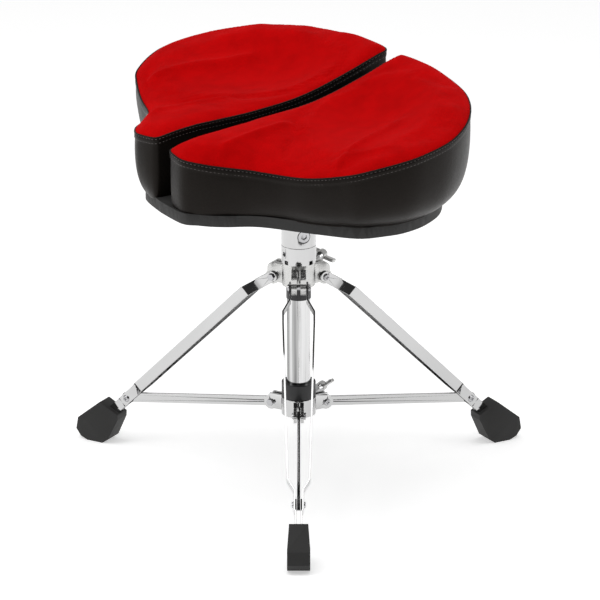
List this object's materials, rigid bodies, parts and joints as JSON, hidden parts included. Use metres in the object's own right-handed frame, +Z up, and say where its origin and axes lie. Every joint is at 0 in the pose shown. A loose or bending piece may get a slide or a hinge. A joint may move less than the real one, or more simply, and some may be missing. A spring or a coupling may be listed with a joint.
{
  "type": "drum throne",
  "caption": "Split saddle seat in red velour that turns and rises on a folding double-braced tripod with chrome flat-bar legs and rubber feet.",
  "frame": {"origin": "on the floor under the column's axis", "axes": "+Z up along the column, -Y towards the front leg"},
  "size_m": [0.483, 0.4768, 0.4653],
  "materials": {
    "velour": "red velour with a short pile",
    "vinyl_black": "soft grained vinyl, semi-gloss",
    "board_black": "black painted board",
    "plate_black": "black paint",
    "chrome": "bright chrome plate",
    "cast_zinc": "satin plated casting",
    "screw_steel": "zinc-plated steel",
    "nylon_black": "moulded nylon",
    "sleeve_black": "plain black film",
    "rubber_black": "moulded rubber"
  },
  "bodies": {
    "column": {"outer_tube": "chrome", "column_sleeve": "sleeve_black", "top_collar": "cast_zinc", "top_bushing": "nylon_black"},
    "post": {"seat_post": "chrome", "memory_lock": "chrome", "memory_lock_screw": "screw_steel"},
    "seat": {"seat_board": "board_black", "cushion_left": "velour", "cushion_right": "velour", "seat_plate": "plate_black", "seat_plate_screws": "screw_steel", "seat_hub": "chrome", "hub_clamp_bolt": "screw_steel"},
    "upper_wing": {"upper_wing_screw": "chrome", "upper_wing_grip": "cast_zinc"},
    "slider": {"lower_collar": "chrome", "lower_bushing": "nylon_black", "front_brace_pin": "screw_steel", "right_brace_pin": "screw_steel", "left_brace_pin": "screw_steel"},
    "lower_wing": {"lower_wing_screw": "chrome", "lower_wing_grip": "cast_zinc"},
    "front_leg": {"front_rail_left": "chrome", "front_rail_right": "chrome", "front_pivot_bolt": "screw_steel", "front_brace_bolt": "screw_steel", "front_bushes": "nylon_black", "front_foot": "rubber_black"},
    "front_strut": {"front_brace": "chrome", "front_brace_eye": "nylon_black"},
    "right_leg": {"right_rail_left": "chrome", "right_rail_right": "chrome", "right_pivot_bolt": "screw_steel", "right_brace_bolt": "screw_steel", "right_bushes": "nylon_black", "right_foot": "rubber_black"},
    "right_strut": {"right_brace": "chrome", "right_brace_eye": "nylon_black"},
    "left_leg": {"left_rail_left": "chrome", "left_rail_right": "chrome", "left_pivot_bolt": "screw_steel", "left_brace_bolt": "screw_steel", "left_bushes": "nylon_black", "left_foot": "rubber_black"},
    "left_strut": {"left_brace": "chrome", "left_brace_eye": "nylon_black"}
  },
  "joints": [
    {"name": "seat_height", "type": "slide", "parent": "column", "child": "post", "axis": [0, 0, 1], "range_m": [0, 0.1]},
    {"name": "seat_swivel", "type": "hinge", "parent": "post", "child": "seat", "pos_m": [0, 0, 0.3], "axis": [0, 0, 1], "continuous": true},
    {"name": "collar_slide", "type": "slide", "parent": "column", "child": "slider", "axis": [0, 0, 1], "range_m": [0, 0.0737]},
    {"name": "upper_wing_turn", "type": "hinge", "parent": "column", "child": "upper_wing", "pos_m": [0.01753, 0.03595, 0.2378], "axis": [0.4384, 0.8988, 0], "range_deg": [0, 360]},
    {"name": "lower_wing_turn", "type": "hinge", "parent": "slider", "child": "lower_wing", "pos_m": [0.01753, 0.03595, 0.088], "axis": [0.4384, 0.8988, 0], "range_deg": [0, 360]},
    {"name": "front_leg_fold", "type": "hinge", "parent": "column", "child": "front_leg", "pos_m": [0, -0.0278, 0.228], "axis": [1, 0, 0], "range_deg": [0, 41]},
    {"name": "front_brace_turn", "type": "hinge", "parent": "slider", "child": "front_strut", "pos_m": [0, -0.0317, 0.0845], "axis": [1, 0, 0], "range_deg": [0, 73.96]},
    {"name": "right_leg_fold", "type": "hinge", "parent": "column", "child": "right_leg", "pos_m": [0.02408, 0.0139, 0.228], "axis": [-0.5, 0.866, 0], "range_deg": [0, 41.05]},
    {"name": "right_brace_turn", "type": "hinge", "parent": "slider", "child": "right_strut", "pos_m": [0.02745, 0.01585, 0.0845], "axis": [-0.5, 0.866, 0], "range_deg": [0, 73.96]},
    {"name": "left_leg_fold", "type": "hinge", "parent": "column", "child": "left_leg", "pos_m": [-0.02408, 0.0139, 0.228], "axis": [-0.5, -0.866, 0], "range_deg": [0, 41.05]},
    {"name": "left_brace_turn", "type": "hinge", "parent": "slider", "child": "left_strut", "pos_m": [-0.02745, 0.01585, 0.0845], "axis": [-0.5, -0.866, 0], "range_deg": [0, 73.96]}
  ],
  "couplings": [
    {"joint": "front_brace_turn", "follows": "front_leg_fold", "ratio": 1.8015},
    {"joint": "right_leg_fold", "follows": "front_leg_fold", "ratio": 1},
    {"joint": "right_brace_turn", "follows": "front_leg_fold", "ratio": 1.8015},
    {"joint": "left_leg_fold", "follows": "front_leg_fold", "ratio": 1},
    {"joint": "left_brace_turn", "follows": "front_leg_fold", "ratio": 1.8015},
    {"joint": "collar_slide", "follows": "front_leg_fold", "m_per_rad": 0.10236}
  ]
}
